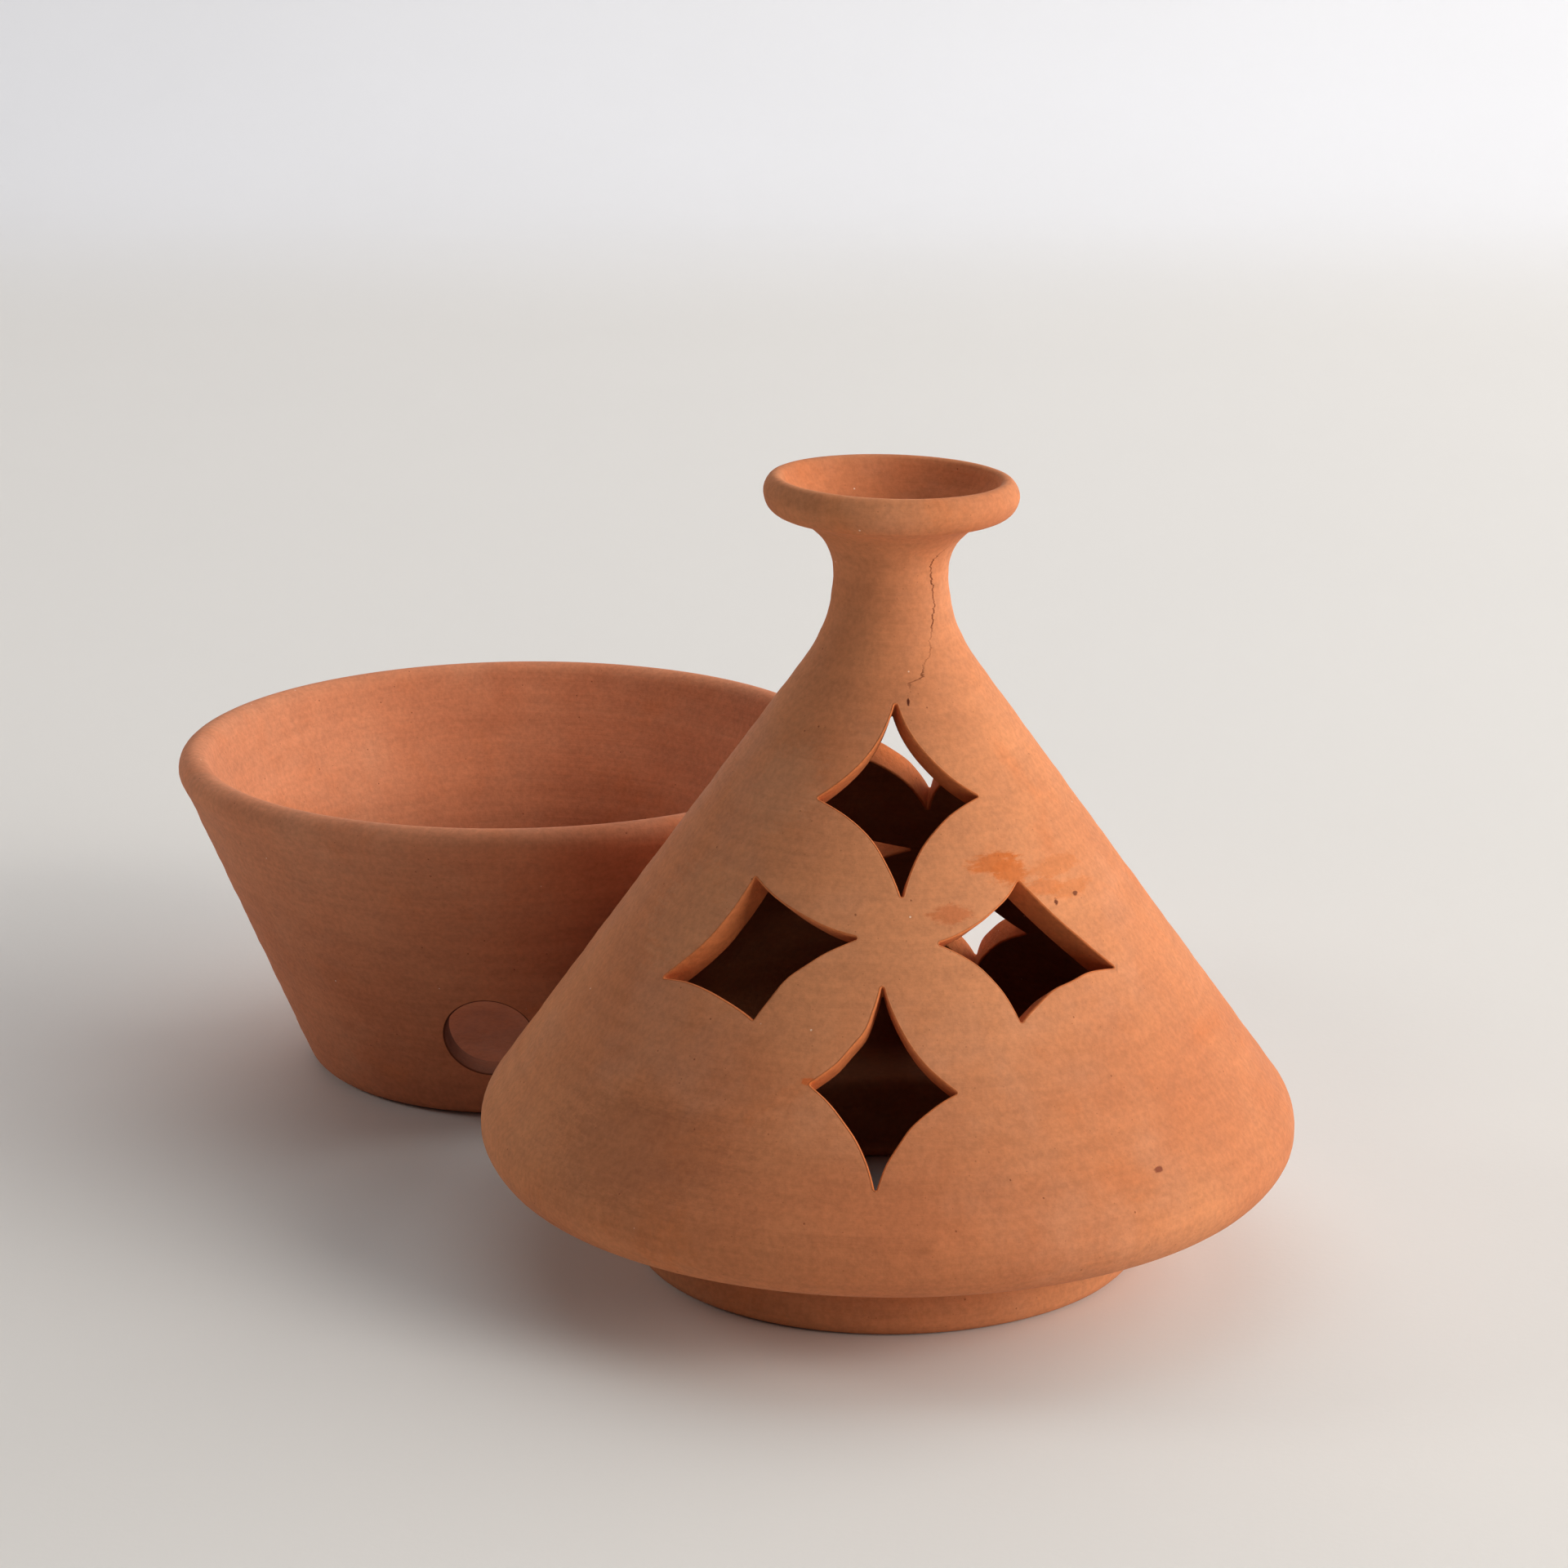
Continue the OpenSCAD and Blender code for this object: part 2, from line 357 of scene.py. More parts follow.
    # The rest of the shell is whole cells between neighbouring rows of the outline.
    row, col = np.divmod(zone, count)
    solid = np.array([
        n for n in range(len(outline) - (0 if wall["closed"] else 1))
        if not (first <= n < last or inner_rows[-1] <= n < inner_rows[0])
    ])[:, None]
    beyond, c = (solid + 1) % len(outline), np.arange(count)[None]
    d = (c + 1) % count
    q = [(n * count + m).ravel() for n, m in ((solid, c), (solid, d), (beyond, d), (beyond, c))]
    tris = np.concatenate([
        np.stack([q[0], q[1], q[2]], 1), np.stack([q[0], q[2], q[3]], 1),
        rows[row] * count + col, (inner_rows[row] * count + col)[:, ::-1], *strip_tris,
    ])
    points = np.concatenate([points.reshape(-1, 3), strip.reshape(-1, 3)])
    mark = np.zeros(len(points))
    mark[first_new:] = 1
    if not wall["closed"]:
        bottom, top = len(points), len(points) + 1
        last_row = (len(outline) - 1) * count
        c, d = c.ravel(), d.ravel()
        tris = np.concatenate([
            tris,
            np.stack([d, c, np.full(count, bottom)], 1),
            np.stack([last_row + c, last_row + d, np.full(count, top)], 1),
        ])
        points = np.concatenate([points, [[0, 0, outline[0, 1]], [0, 0, outline[-1, 1]]]])
        mark = np.concatenate([mark, [0, 0]])
    return points, tris, mark


def solid_piece(name, points, triangles, marks, centre):
    """Makes the mesh object from points in millimetres round an axis through centre, drops
    points that no triangle uses, and stores each mark as a point attribute."""
    used, triangles = np.unique(triangles, return_inverse=True)
    triangles = triangles.reshape(-1, 3)
    placed = points[used] * MM + np.array([centre[0], centre[1], 0.0])
    mesh = bpy.data.meshes.new(name)
    mesh.vertices.add(len(placed))
    mesh.vertices.foreach_set("co", placed.astype(np.float32).ravel())
    mesh.loops.add(triangles.size)
    mesh.loops.foreach_set("vertex_index", triangles.astype(np.int32).ravel())
    mesh.polygons.add(len(triangles))
    mesh.polygons.foreach_set("loop_start", np.arange(0, triangles.size, 3, dtype=np.int32))
    mesh.polygons.foreach_set("use_smooth", np.ones(len(triangles), bool))
    for key, values in marks.items():
        mesh.attributes.new(key, "FLOAT", "POINT").data.foreach_set(
            "value", values[used].astype(np.float32)
        )
    mesh.update(calc_edges=True)
    mesh.validate()
    piece = bpy.data.objects.new(name, mesh)
    bpy.context.scene.collection.objects.link(piece)
    return piece


def hand_work(points, seed, amount):
    """Moves points out and in by what a hand on a turning pot leaves: a slow out-of-round
    wave, and throwing rings that follow the height and drift a little round the pot."""
    rng = np.random.default_rng(seed)
    r = np.hypot(points[:, 0], points[:, 1])
    a, z = np.arctan2(points[:, 0], -points[:, 1]), points[:, 2]
    out = 0.35 * amount * np.sin(2 * a + rng.uniform(0, 6.3)) * np.clip(r / 50, 0, 1)
    out += 0.2 * amount * np.sin(3 * a + z * 0.03 + rng.uniform(0, 6.3)) * np.clip(r / 50, 0, 1)
    for pitch, height in ((9.0, 0.04), (5.3, 0.035), (3.1, 0.025), (1.9, 0.015)):
        phase = rng.uniform(0, 6.3)
        drift = 0.8 * np.sin(a + rng.uniform(0, 6.3))
        out += amount * height * np.sin(2 * math.pi * (z + drift) / pitch + phase)
    scale = 1 + out / np.maximum(r, 3) * np.clip(r / 3, 0, 1)
    return points * np.stack([scale, scale, np.ones_like(r)], 1)


class Nodes:
    """Adds shader nodes to a new material. An input is a value or another node's socket."""

    def __init__(self, name):
        self.material = bpy.data.materials.new(name)
        self.material.use_nodes = True
        self.tree = self.material.node_tree
        self.shader = self.tree.nodes["Principled BSDF"]
        self.place = self.add("TexCoord").outputs["Object"]

    def add(self, kind, inputs=None, **settings):
        node = self.tree.nodes.new("ShaderNode" + kind)
        for key, value in settings.items():
            setattr(node, key, value)
        for key, value in (inputs or {}).items():
            self.feed(node.inputs[key], value)
        return node

    def feed(self, socket, value):
        if isinstance(value, bpy.types.NodeSocket):
            self.tree.links.new(value, socket)
        else:
            socket.default_value = value

    def math(self, operation, a, b=0.0):
        return self.add("Math", {0: a, 1: b}, operation=operation).outputs[0]

    def noise(self, scale, detail=3.0, rough=0.5, shift=0.0, warp=0.0):
        """Noise from 0 to 1. scale is features per metre, one number or one along each axis."""
        scale = scale if isinstance(scale, tuple) else (scale,) * 3
        at = self.add("Mapping", {"Vector": self.place, "Location": (shift, shift * 1.7, -shift),
                                  "Scale": scale}).outputs[0]
        return self.add("TexNoise", {"Vector": at, "Scale": 1.0, "Detail": detail,
                                     "Roughness": rough, "Distortion": warp}).outputs[0]

    def ramp(self, value, low, high, out_low=0.0, out_high=1.0):
        """A smooth step of value from low to high."""
        return self.add("MapRange", {0: value, 1: low, 2: high, 3: out_low, 4: out_high},
                        interpolation_type="SMOOTHSTEP").outputs[0]

    def mix(self, share, a, b, blend="MIX"):
        node = self.add("Mix", {0: share, 6: a, 7: b}, data_type="RGBA", blend_type=blend)
        return node.outputs[2]

    def dots(self, scale, size, share):
        """Round specks: 1 inside a small distance from scattered points, for a share of them."""
        cell = self.add("TexVoronoi", {"Vector": self.place, "Scale": scale})
        near = self.ramp(cell.outputs["Distance"], size, size * 0.5)
        pick = self.add("SeparateColor", {0: cell.outputs["Color"]}).outputs[0]
        return self.math("MULTIPLY", near, self.math("LESS_THAN", pick, share))


def linear(red, green, blue):
    """A colour given as 0 to 255 on screen, as the linear values a shader takes."""
    c = np.array([red, green, blue]) / 255
    c = np.where(c <= 0.04045, c / 12.92, ((c + 0.055) / 1.055) ** 2.4)
    return (*c.tolist(), 1.0)


def fired_clay(name, body, dark, raw, shift, patches=()):
    """Unglazed red clay: broad and fine mottling of the body colour, streaks left by wiping
    on the wheel, grog specks, a pale bloom, raw orange on cut faces, painted shade on the
    inside and in the vent where the mesh marks it, the drying crack's hairline where the mesh
    marks it, and local patches given as centre, half sizes, colour and strength."""
    n = Nodes(name)
    colour = n.mix(n.ramp(n.noise(17, 4, 0.55, shift), 0.3, 0.72), linear(*body), linear(*dark))
    bloom = n.math("MULTIPLY", n.ramp(n.noise(38, 5, 0.62, shift + 3), 0.48, 0.72), 0.34)
    colour = n.mix(bloom, colour, linear(206, 146, 112))
    warm = n.math("MULTIPLY", n.ramp(n.noise(52, 5, 0.6, shift + 7, 0.6), 0.53, 0.74), 0.3)
    colour = n.mix(warm, colour, linear(*raw))
    edge = n.math("MULTIPLY", n.noise((330, 330, 1300), 5, 0.75, shift + 1), 2.6)
    for centre, half, tint, strength in patches:
        away = n.add("VectorMath", {0: n.place, 1: centre}, operation="SUBTRACT").outputs[0]
        away = n.add("VectorMath", {0: away, 1: tuple(1 / h for h in half)},
                     operation="MULTIPLY").outputs[0]
        away = n.add("VectorMath", {0: away}, operation="LENGTH").outputs["Value"]
        away = n.math("ADD", away, edge)
        mask = n.math("MULTIPLY", n.ramp(away, 2.5, 1.9), strength)
        colour = n.mix(mask, colour, linear(*tint))
    cut = n.add("Attribute", attribute_name="cut").outputs["Fac"]
    colour = n.mix(n.math("MULTIPLY", n.ramp(cut, 0.2, 0.9), 0.7), colour, linear(*raw))
    # Painted shade: where the mesh marks it, the colour goes towards a dark brown, made patchy by
    # noise.
    painted_shade = n.add("Attribute", attribute_name="painted_shade").outputs["Fac"]
    painted_shade = n.math("MULTIPLY", painted_shade, n.ramp(n.noise(45, 4, 0.6, shift), 0.3, 0.7, 0.5, 0.7))
    colour = n.mix(painted_shade, colour, linear(76, 33, 17))
    streak = n.noise((34, 34, 760), 4, 0.6, shift)
    grain = n.noise(1150, 4, 0.62, shift)
    blotch = n.noise(210, 4, 0.6, shift)
    value = n.math("ADD", n.ramp(streak, 0.25, 0.75, -0.055, 0.055),
                   n.ramp(grain, 0.25, 0.75, -0.1, 0.1))
    value = n.math("ADD", value, n.ramp(blotch, 0.3, 0.7, -0.04, 0.04))
    value = n.math("ADD", value, 1.0)
    colour = n.mix(1.0, colour, n.add("CombineXYZ", {0: value, 1: value, 2: value}).outputs[0],
                   "MULTIPLY")
    specks, pale = n.dots(400, 0.075, 0.3), n.dots(290, 0.055, 0.22)
    fine = n.dots(1000, 0.14, 0.2)
    colour = n.mix(n.math("MULTIPLY", specks, 0.55), colour, linear(112, 52, 28))
    colour = n.mix(n.math("MULTIPLY", fine, 0.35), colour, linear(120, 60, 34))
    colour = n.mix(n.math("MULTIPLY", pale, 0.8), colour, linear(245, 215, 190))
    side = n.add("Attribute", attribute_name="crack_side").outputs["Fac"]
    jag = n.math("MULTIPLY", n.math("SUBTRACT", n.noise((70, 70, 700), 4, 0.75), 0.5), 2.5)
    crack = n.ramp(n.math("ABSOLUTE", n.math("ADD", side, jag)), 0.17, 0.06)
    crack = n.math("MULTIPLY", crack, n.add("Attribute", attribute_name="crack_here").outputs["Fac"])
    crack = n.math("MULTIPLY", crack, n.ramp(n.noise((80, 80, 330), 3), 0.36, 0.56, 0.3, 1.0))
    colour = n.mix(n.math("MULTIPLY", crack, 0.85), colour, linear(104, 46, 22))
    n.feed(n.shader.inputs["Base Color"], colour)
    n.feed(n.shader.inputs["Roughness"], n.ramp(blotch, 0.3, 0.7, 0.82, 0.95))
    n.feed(n.shader.inputs["Specular IOR Level"], 0.22)
    height = n.math("ADD", n.math("MULTIPLY", streak, 0.5), n.math("MULTIPLY", grain, 0.35))
    height = n.math("ADD", height, n.math("MULTIPLY", blotch, 0.5))
    height = n.math("SUBTRACT", height, n.math("MULTIPLY", specks, 0.35))
    height = n.math("SUBTRACT", height, n.math("MULTIPLY", crack, 0.8))
    rough_cut = n.math("MULTIPLY", n.noise(420, 5, 0.7, shift), n.math("MULTIPLY", cut, 1.4))
    height = n.math("ADD", height, rough_cut)
    bump = n.add("Bump", {"Height": height, "Strength": 0.55, "Distance": 0.0003})
    n.feed(n.shader.inputs["Normal"], bump.outputs[0])
    return n.material


bowl_rim_tube = BOWL_WALL / 2 + 0.2
bowl_slope = (BOWL_RIM_R - BOWL_BASE_R) / (BOWL_H - bowl_rim_tube)
bowl_flare = math.degrees(math.atan(bowl_slope))
cos_flare = math.cos(math.radians(bowl_flare))
bowl_across = BOWL_WALL / cos_flare
heel = (BOWL_BASE_R + bowl_slope * BOWL_HEEL_R - BOWL_HEEL_R / cos_flare, BOWL_HEEL_R)
well_z = BOWL_FLOOR + BOWL_WELL_R
well = (BOWL_BASE_R - bowl_across + bowl_slope * well_z - BOWL_WELL_R / cos_flare, well_z)
rim = (BOWL_RIM_R - bowl_rim_tube, BOWL_H - bowl_rim_tube)
ZONE_LOW, ZONE_HIGH, ZONE_STEP = 7.0, 48.0, 0.78
MIDDLE_R = 0.6


def bowl_outer_r(z):
    """Radius of the outside at height z: a straight line."""
    return BOWL_BASE_R + bowl_slope * z


def bowl_inner_r(z):
    """Radius of the inside at height z: the straight wall, and the well's arc below it."""
    wall_r = BOWL_BASE_R - bowl_across + bowl_slope * z
    down = np.clip(well[1] - z, 0, BOWL_WELL_R)
    arc_r = well[0] + np.sqrt(BOWL_WELL_R**2 - down**2)
    meets = well[1] - BOWL_WELL_R * math.sin(math.radians(bowl_flare))
    return np.where(z < meets, arc_r, wall_r)


below = np.concatenate([
    line((MIDDLE_R, 0), (heel[0], 0), 2.4),
    arc(heel, BOWL_HEEL_R, -90, -bowl_flare, 0.7),
    line(turned(heel, BOWL_HEEL_R, -bowl_flare), (bowl_outer_r(ZONE_LOW), ZONE_LOW), 1.2),
])
zone_z = np.linspace(ZONE_LOW, ZONE_HIGH, round((ZONE_HIGH - ZONE_LOW) / ZONE_STEP))
rim_start = turned(rim, bowl_rim_tube, -bowl_flare)
rim_end = turned(rim, bowl_rim_tube, 180 - bowl_flare)
above = np.concatenate([
    line((bowl_outer_r(ZONE_HIGH), ZONE_HIGH), rim_start, 1.0)[1:],
    arc(rim, bowl_rim_tube, -bowl_flare, 180 - bowl_flare, 0.6),
    line(rim_end, (bowl_inner_r(ZONE_HIGH), ZONE_HIGH), 1.0),
])
zone_end_angle = -math.degrees(math.asin((well[1] - ZONE_LOW) / BOWL_WELL_R))
floor = np.concatenate([
    arc(well, BOWL_WELL_R, zone_end_angle, -90, 0.9)[1:],
    line((well[0], BOWL_FLOOR), (MIDDLE_R, BOWL_FLOOR), 2.4),
])
outline = np.concatenate([
    below,
    np.stack([bowl_outer_r(zone_z), zone_z], 1),
    above,
    np.stack([bowl_inner_r(zone_z), zone_z], 1)[::-1],
    floor,
])
first = len(below)
last = first + len(zone_z) - 1
inner_first = len(below) + len(zone_z) + len(above)
bowl_wall = Wall((BOWL_BASE_R, 0), (bowl_outer_r(ZONE_HIGH), ZONE_HIGH), bowl_inner_r, False)

# The vent hole is bored level, so on the flat layout its outline is a slightly tall oval.
turn = np.linspace(0, 2 * math.pi, 181)[:-1]
side, height = VENT_R * np.sin(turn), VENT_Z + VENT_R * np.cos(turn)
vent = {"azimuth": VENT_AZIMUTH, "far": bowl_wall.far(VENT_Z), "tips": [],
        "knife": bowl_wall.outward(np.array(VENT_AZIMUTH))}
vent_az = VENT_AZIMUTH + np.arcsin(side / bowl_outer_r(height))
vent_loop = bowl_wall.flat(vent_az, bowl_wall.far(height), vent)
vent["base"], vent["normal"] = fanned(vent_loop, 1.0)

BOWL_COLUMNS = 200
bowl_points, bowl_tris, bowl_cut = pierced(
    outline, first, last,
    {"face": bowl_wall, "inner": np.arange(inner_first, inner_first + len(zone_z)),
     "closed": False},
    columns(BOWL_COLUMNS, [VENT_AZIMUTH], math.radians(16), 0.2), [vent],
)
# Painted shade darkens the inside, most of all near the floor, and the vent's bore.
# The bore is smoother than a knife cut, so it takes only a fifth of the cut's roughness.
PAINTED_SHADE_TOP, PAINTED_SHADE_FADE = 36, 26
BORE_CUT, BORE_PAINTED_SHADE = 0.2, 1.4
inner_row = np.arange(len(outline)) >= inner_first
deep = np.clip((PAINTED_SHADE_TOP - outline[:, 1]) / PAINTED_SHADE_FADE, 0, 1) * inner_row
bowl_painted_shade = np.zeros(len(bowl_points))
bowl_painted_shade[:len(outline) * BOWL_COLUMNS] = np.repeat(deep, BOWL_COLUMNS)
bowl_painted_shade += BORE_PAINTED_SHADE * bowl_cut
bowl_painted_shade[-1] = 1.0  # the middle of the floor
bowl_points = hand_work(bowl_points, 11, 0.8)
bowl = solid_piece(
    "terracotta_bowl", bowl_points, bowl_tris,
    {"cut": BORE_CUT * bowl_cut, "painted_shade": bowl_painted_shade},
    ((bowl_low.x + bowl_high.x) / 2, (bowl_low.y + bowl_high.y) / 2),
)
bowl.data.materials.append(
    fired_clay("bowl_fired_clay", (212, 138, 100), (192, 114, 78), (204, 110, 58), 2.3)
)
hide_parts("bowl")
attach(bowl, "bowl")

# ======================================================================================
# Lid.
# A cone thrown in the same clay, closed in to a narrow neck and opened again into a small
# cup. A flange and a locating ring are turned under it, and two groups of four-pointed
# stars are cut through the wall with a knife while the clay is leather hard.
# ======================================================================================
lid_low, lid_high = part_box("lid")
LID_AT = ((lid_low.x + lid_high.x) / 2, lid_low.y + (lid_high.x - lid_low.x) / 2)
LID_H = lid_high.z / MM
LID_R = 60.0
CONE_ANGLE = 35.6
CONE_APEX = 106.6
LID_WALL = 4.8
EDGE_R = 7.0
FLANGE_SLOPE = 20.0
RING_R, RING_INNER_R = 38.0, 32.0
RING_FOOT_R, FOOT_INNER_R, RING_JOIN_R = 2.5, 1.5, 0.8
SHELF_Z = 13.5
SHELF_R = 6.0
NECK_R, NECK_Z = 8.2, 102.3
CUP_R, LIP_R, CREST_R = 18.2, 3.3, 1.2
LIP_END, CREST_END = 40, 140
BORE_R = 3.5
DISH_R = 12.5

tan_cone, cos_cone = math.tan(math.radians(CONE_ANGLE)), math.cos(math.radians(CONE_ANGLE))
lid_across = LID_WALL / cos_cone
shelf = (
    (CONE_APEX - SHELF_Z - SHELF_R) * tan_cone - lid_across - SHELF_R / cos_cone,
    SHELF_Z + SHELF_R,
)
shelf_top = shelf[1] + SHELF_R * math.sin(math.radians(CONE_ANGLE))


def lid_outer_r(z):
    """Radius of the outside at height z: a straight line to the cone's apex."""
    return (CONE_APEX - z) * tan_cone


def lid_inner_r(z):
    """Radius of the inside at height z: the cone, and the shelf corner's arc below it."""
    cone_r = (CONE_APEX - z) * tan_cone - lid_across
    down = np.clip(shelf[1] - z, -SHELF_R, SHELF_R)
    return np.where(z < shelf_top, shelf[0] + np.sqrt(SHELF_R**2 - down**2), cone_r)


edge = (LID_R - EDGE_R, CONE_APEX - (LID_R - EDGE_R + EDGE_R / cos_cone) / tan_cone)
hollow = (NECK_R - lid_outer_r(NECK_Z)) / (1 / cos_cone - 1)
neck = (NECK_R + hollow, NECK_Z)
lip = (CUP_R - LIP_R, LID_H - CREST_R - (LIP_R - CREST_R) * math.sin(math.radians(LIP_END)))
crest = turned(lip, LIP_R - CREST_R, LIP_END)
flare = ((NECK_R - lip[0]) ** 2 + (NECK_Z - lip[1]) ** 2 - LIP_R**2) / (
    2 * (LIP_R + lip[0] - NECK_R)
)
flare_at = (NECK_R + flare, NECK_Z)
flare_end = math.degrees(math.atan2(lip[1] - flare_at[1], lip[0] - flare_at[0]))
crest_in = turned(crest, CREST_R, CREST_END)
dish_start = math.degrees(math.acos((crest_in[0] - BORE_R) / DISH_R))
dish = (BORE_R, crest_in[1] + DISH_R * math.sin(math.radians(dish_start)))
CUT_LOW, CUT_HIGH, CUT_STEP = 24.8, 88.0, 0.62
drop = LID_WALL * math.sin(math.radians(CONE_ANGLE))
cut_z = np.linspace(CUT_LOW, CUT_HIGH, round((CUT_HIGH - CUT_LOW) / CUT_STEP))
bore_top = (BORE_R, dish[1] - DISH_R)
bore_low = (BORE_R, CONE_APEX - (BORE_R + lid_across) / tan_cone)
under_at = turned(edge, EDGE_R, FLANGE_SLOPE - 90)
ring_top_z = under_at[1] - (under_at[0] - RING_R) * math.tan(math.radians(FLANGE_SLOPE))

lid_below = np.concatenate([
    arc((RING_INNER_R + FOOT_INNER_R, FOOT_INNER_R), FOOT_INNER_R, 180, 270, 0.8),
    line((RING_INNER_R + FOOT_INNER_R, 0), (RING_R - RING_FOOT_R, 0), 1.0),
    arc((RING_R - RING_FOOT_R, RING_FOOT_R), RING_FOOT_R, -90, 0, 0.8),
    line((RING_R, RING_FOOT_R), (RING_R, ring_top_z - RING_JOIN_R), 0.8),
    arc((RING_R + RING_JOIN_R, ring_top_z - RING_JOIN_R), RING_JOIN_R, 180, 110, 0.3),
    line((RING_R + 0.9, ring_top_z + 0.3), under_at, 1.5),
    arc(edge, EDGE_R, FLANGE_SLOPE - 90, CONE_ANGLE, 0.8),
    line(turned(edge, EDGE_R, CONE_ANGLE), (lid_outer_r(CUT_LOW), CUT_LOW), 1.0),
])
lid_above = np.concatenate([
    line((lid_outer_r(CUT_HIGH), CUT_HIGH), turned(neck, hollow, 180 + CONE_ANGLE), 0.7)[1:],
    arc(neck, hollow, 180 + CONE_ANGLE, 180, 0.7),
    arc(flare_at, flare, 180, flare_end, 0.8),
    arc(lip, LIP_R, flare_end - 180, LIP_END, 0.6),
    arc(crest, CREST_R, LIP_END, CREST_END, 0.4),
    arc(dish, DISH_R, -dish_start, -90, 1.2),
    line(bore_top, bore_low, 2.5),
    line(bore_low, (lid_inner_r(CUT_HIGH - drop), CUT_HIGH - drop), 1.5),
])
shelf_from = math.degrees(math.asin((CUT_LOW - drop - shelf[1]) / SHELF_R))
lid_floor = np.concatenate([
    arc(shelf, SHELF_R, shelf_from, -90, 1.4)[1:],
    line((shelf[0], SHELF_Z), (RING_INNER_R + 2, SHELF_Z), 2.5),
    arc((RING_INNER_R + 2, SHELF_Z - 2), 2, 90, 180, 0.9),
    line((RING_INNER_R, SHELF_Z - 2), (RING_INNER_R, FOOT_INNER_R), 1.4),
])
lid_outline = np.concatenate([
    lid_below,
    np.stack([lid_outer_r(cut_z), cut_z], 1),
    lid_above,
    np.stack([lid_inner_r(cut_z - drop), cut_z - drop], 1)[::-1],
    lid_floor,
])
lid_first = len(lid_below)
lid_last = lid_first + len(cut_z) - 1
lid_inner_first = len(lid_below) + len(cut_z) + len(lid_above)
lid_wall = Wall((lid_outer_r(CUT_LOW), CUT_LOW), (lid_outer_r(CUT_HIGH), CUT_HIGH),
                lid_inner_r, True)


def side_curve(tip_a, tip_b, bow, sway, steps):
    """One side of a cut-out, from tip a to tip b: the straight line, bowed by a parabola
    and swayed by two slow waves that vanish at the tips."""
    t = np.arange(steps)[:, None] / steps
    along = tip_b - tip_a
    length = np.linalg.norm(along)
    inward = np.array([along[1], -along[0]]) / length
    wave = np.sin(math.pi * t) * (
        sway[0] * np.sin(2 * math.pi * t + sway[1]) + sway[2] * np.sin(5 * math.pi * t + sway[3])
    )
    return tip_a + along * t + inward * (4 * bow * t * (1 - t) + wave)


def star(azimuth, z, tips, bows, roll, knife, rng):
    """A four-pointed star cut-out: its tips up, right, down and left, measured from its
    middle in the flat layout before it is turned by roll, are joined by sides that bow in.
    knife is how the blade leaned from square to the wall, as an azimuth and a rise."""
    c, s = math.cos(math.radians(roll)), math.sin(math.radians(roll))
    tips = (np.array(tips) + rng.normal(0, 0.1, (4, 2))) @ np.array([[c, s], [-s, c]])
    tips -= tips / np.linalg.norm(tips, axis=1)[:, None] * TIP_ROUND
    loop = np.concatenate([
        side_curve(tips[n], tips[(n + 1) % 4], bows[n] + 0.2,
                   (rng.normal(0, 0.12), rng.uniform(0, 6.3), rng.normal(0, 0.05), 1.0), 36)
        for n in range(4)
    ])
    base, normal = fanned(loop, 0.5)
    still = np.linalg.norm(np.roll(base, -1, 0) - base, axis=1) < 1e-9
    starts = np.nonzero(still & ~np.roll(still, 1))[0]
    lean, rise = math.radians(azimuth + knife[0]), math.radians(CONE_ANGLE + knife[1])
    return {
        "azimuth": math.radians(azimuth), "far": lid_wall.far(z),
        "base": base, "normal": normal, "tips": starts + (TIP_REPEATS - 1) / 2,
        "knife": spun(math.cos(rise), math.sin(rise), np.array(lean)),
    }


SIDE_ROLL = 31 * math.sin(math.radians(CONE_ANGLE))
FRONT, BACK = 0.0, 165.0
rng = np.random.default_rng(40)
stars = [
    star(FRONT + 2, 75, ((0, 14.1), (11.5, 1), (0, -14.3), (-11.5, 0.9)),
         (1.9, 1.8, 1.65, 1.8), 0, (5, 0), rng),
    star(FRONT + 31, 55.4, ((-1.5, 10.3), (14.4, 0.6), (-1.7, -10.4), (-13.3, -0.2)),
         (0.5, 1.45, 1.5, 1.2), -SIDE_ROLL, (2, 0), rng),
    star(FRONT - 2.8, 41, ((0.1, 14.3), (10.3, -0.3), (-0.1, -14.3), (-9.8, 0.6)),
         (1.5, 1.55, 1.25, 1.7), 0, (0, 0), rng),
    star(FRONT - 31, 55.4, ((-0.9, 11.5), (14.1, 0.7), (-0.6, -9.8), (-15.6, -0.6)),
         (1.3, 1.3, 0.8, 1.4), SIDE_ROLL, (-2, 0), rng),
    star(BACK + 2, 73, ((0.2, 14.2), (11.3, 0.6), (0, -14.2), (-11.3, 0.3)),
         (1.8, 1.7, 1.9, 1.6), 0, (6, -5), rng),
    star(BACK + 31, 51, ((-0.5, 10.6), (14.3, 0.3), (0.3, -10.6), (-14.3, 0)),
         (1.2, 1.0, 1.3, 1.2), -SIDE_ROLL, (0, 0), rng),
    star(BACK - 1.5, 38, ((0, 14.2), (10.2, 0.2), (0.2, -14.2), (-10.2, 0)),
         (1.5, 1.4, 1.6, 1.5), 0, (8, -5), rng),
    star(BACK - 31, 50, ((0.6, 10.6), (14.3, -0.4), (-0.3, -10.6), (-14.3, 0.3)),
         (1.1, 1.3, 1.2, 1.3), SIDE_ROLL, (0, 0), rng),
]

LID_COLUMNS = 276
lid_points, lid_tris, lid_cut = pierced(
    lid_outline, lid_first, lid_last,
    {"face": lid_wall, "inner": np.arange(lid_inner_first, lid_inner_first + len(cut_z)),
     "closed": True},
    columns(LID_COLUMNS, [math.radians(FRONT), math.radians(BACK)], math.radians(56), 0.82),
    stars,
)
lid_points = hand_work(lid_points, 23, 0.7)
r = np.hypot(lid_points[:, 0], lid_points[:, 1])
azimuth, z = np.arctan2(lid_points[:, 0], -lid_points[:, 1]), lid_points[:, 2]

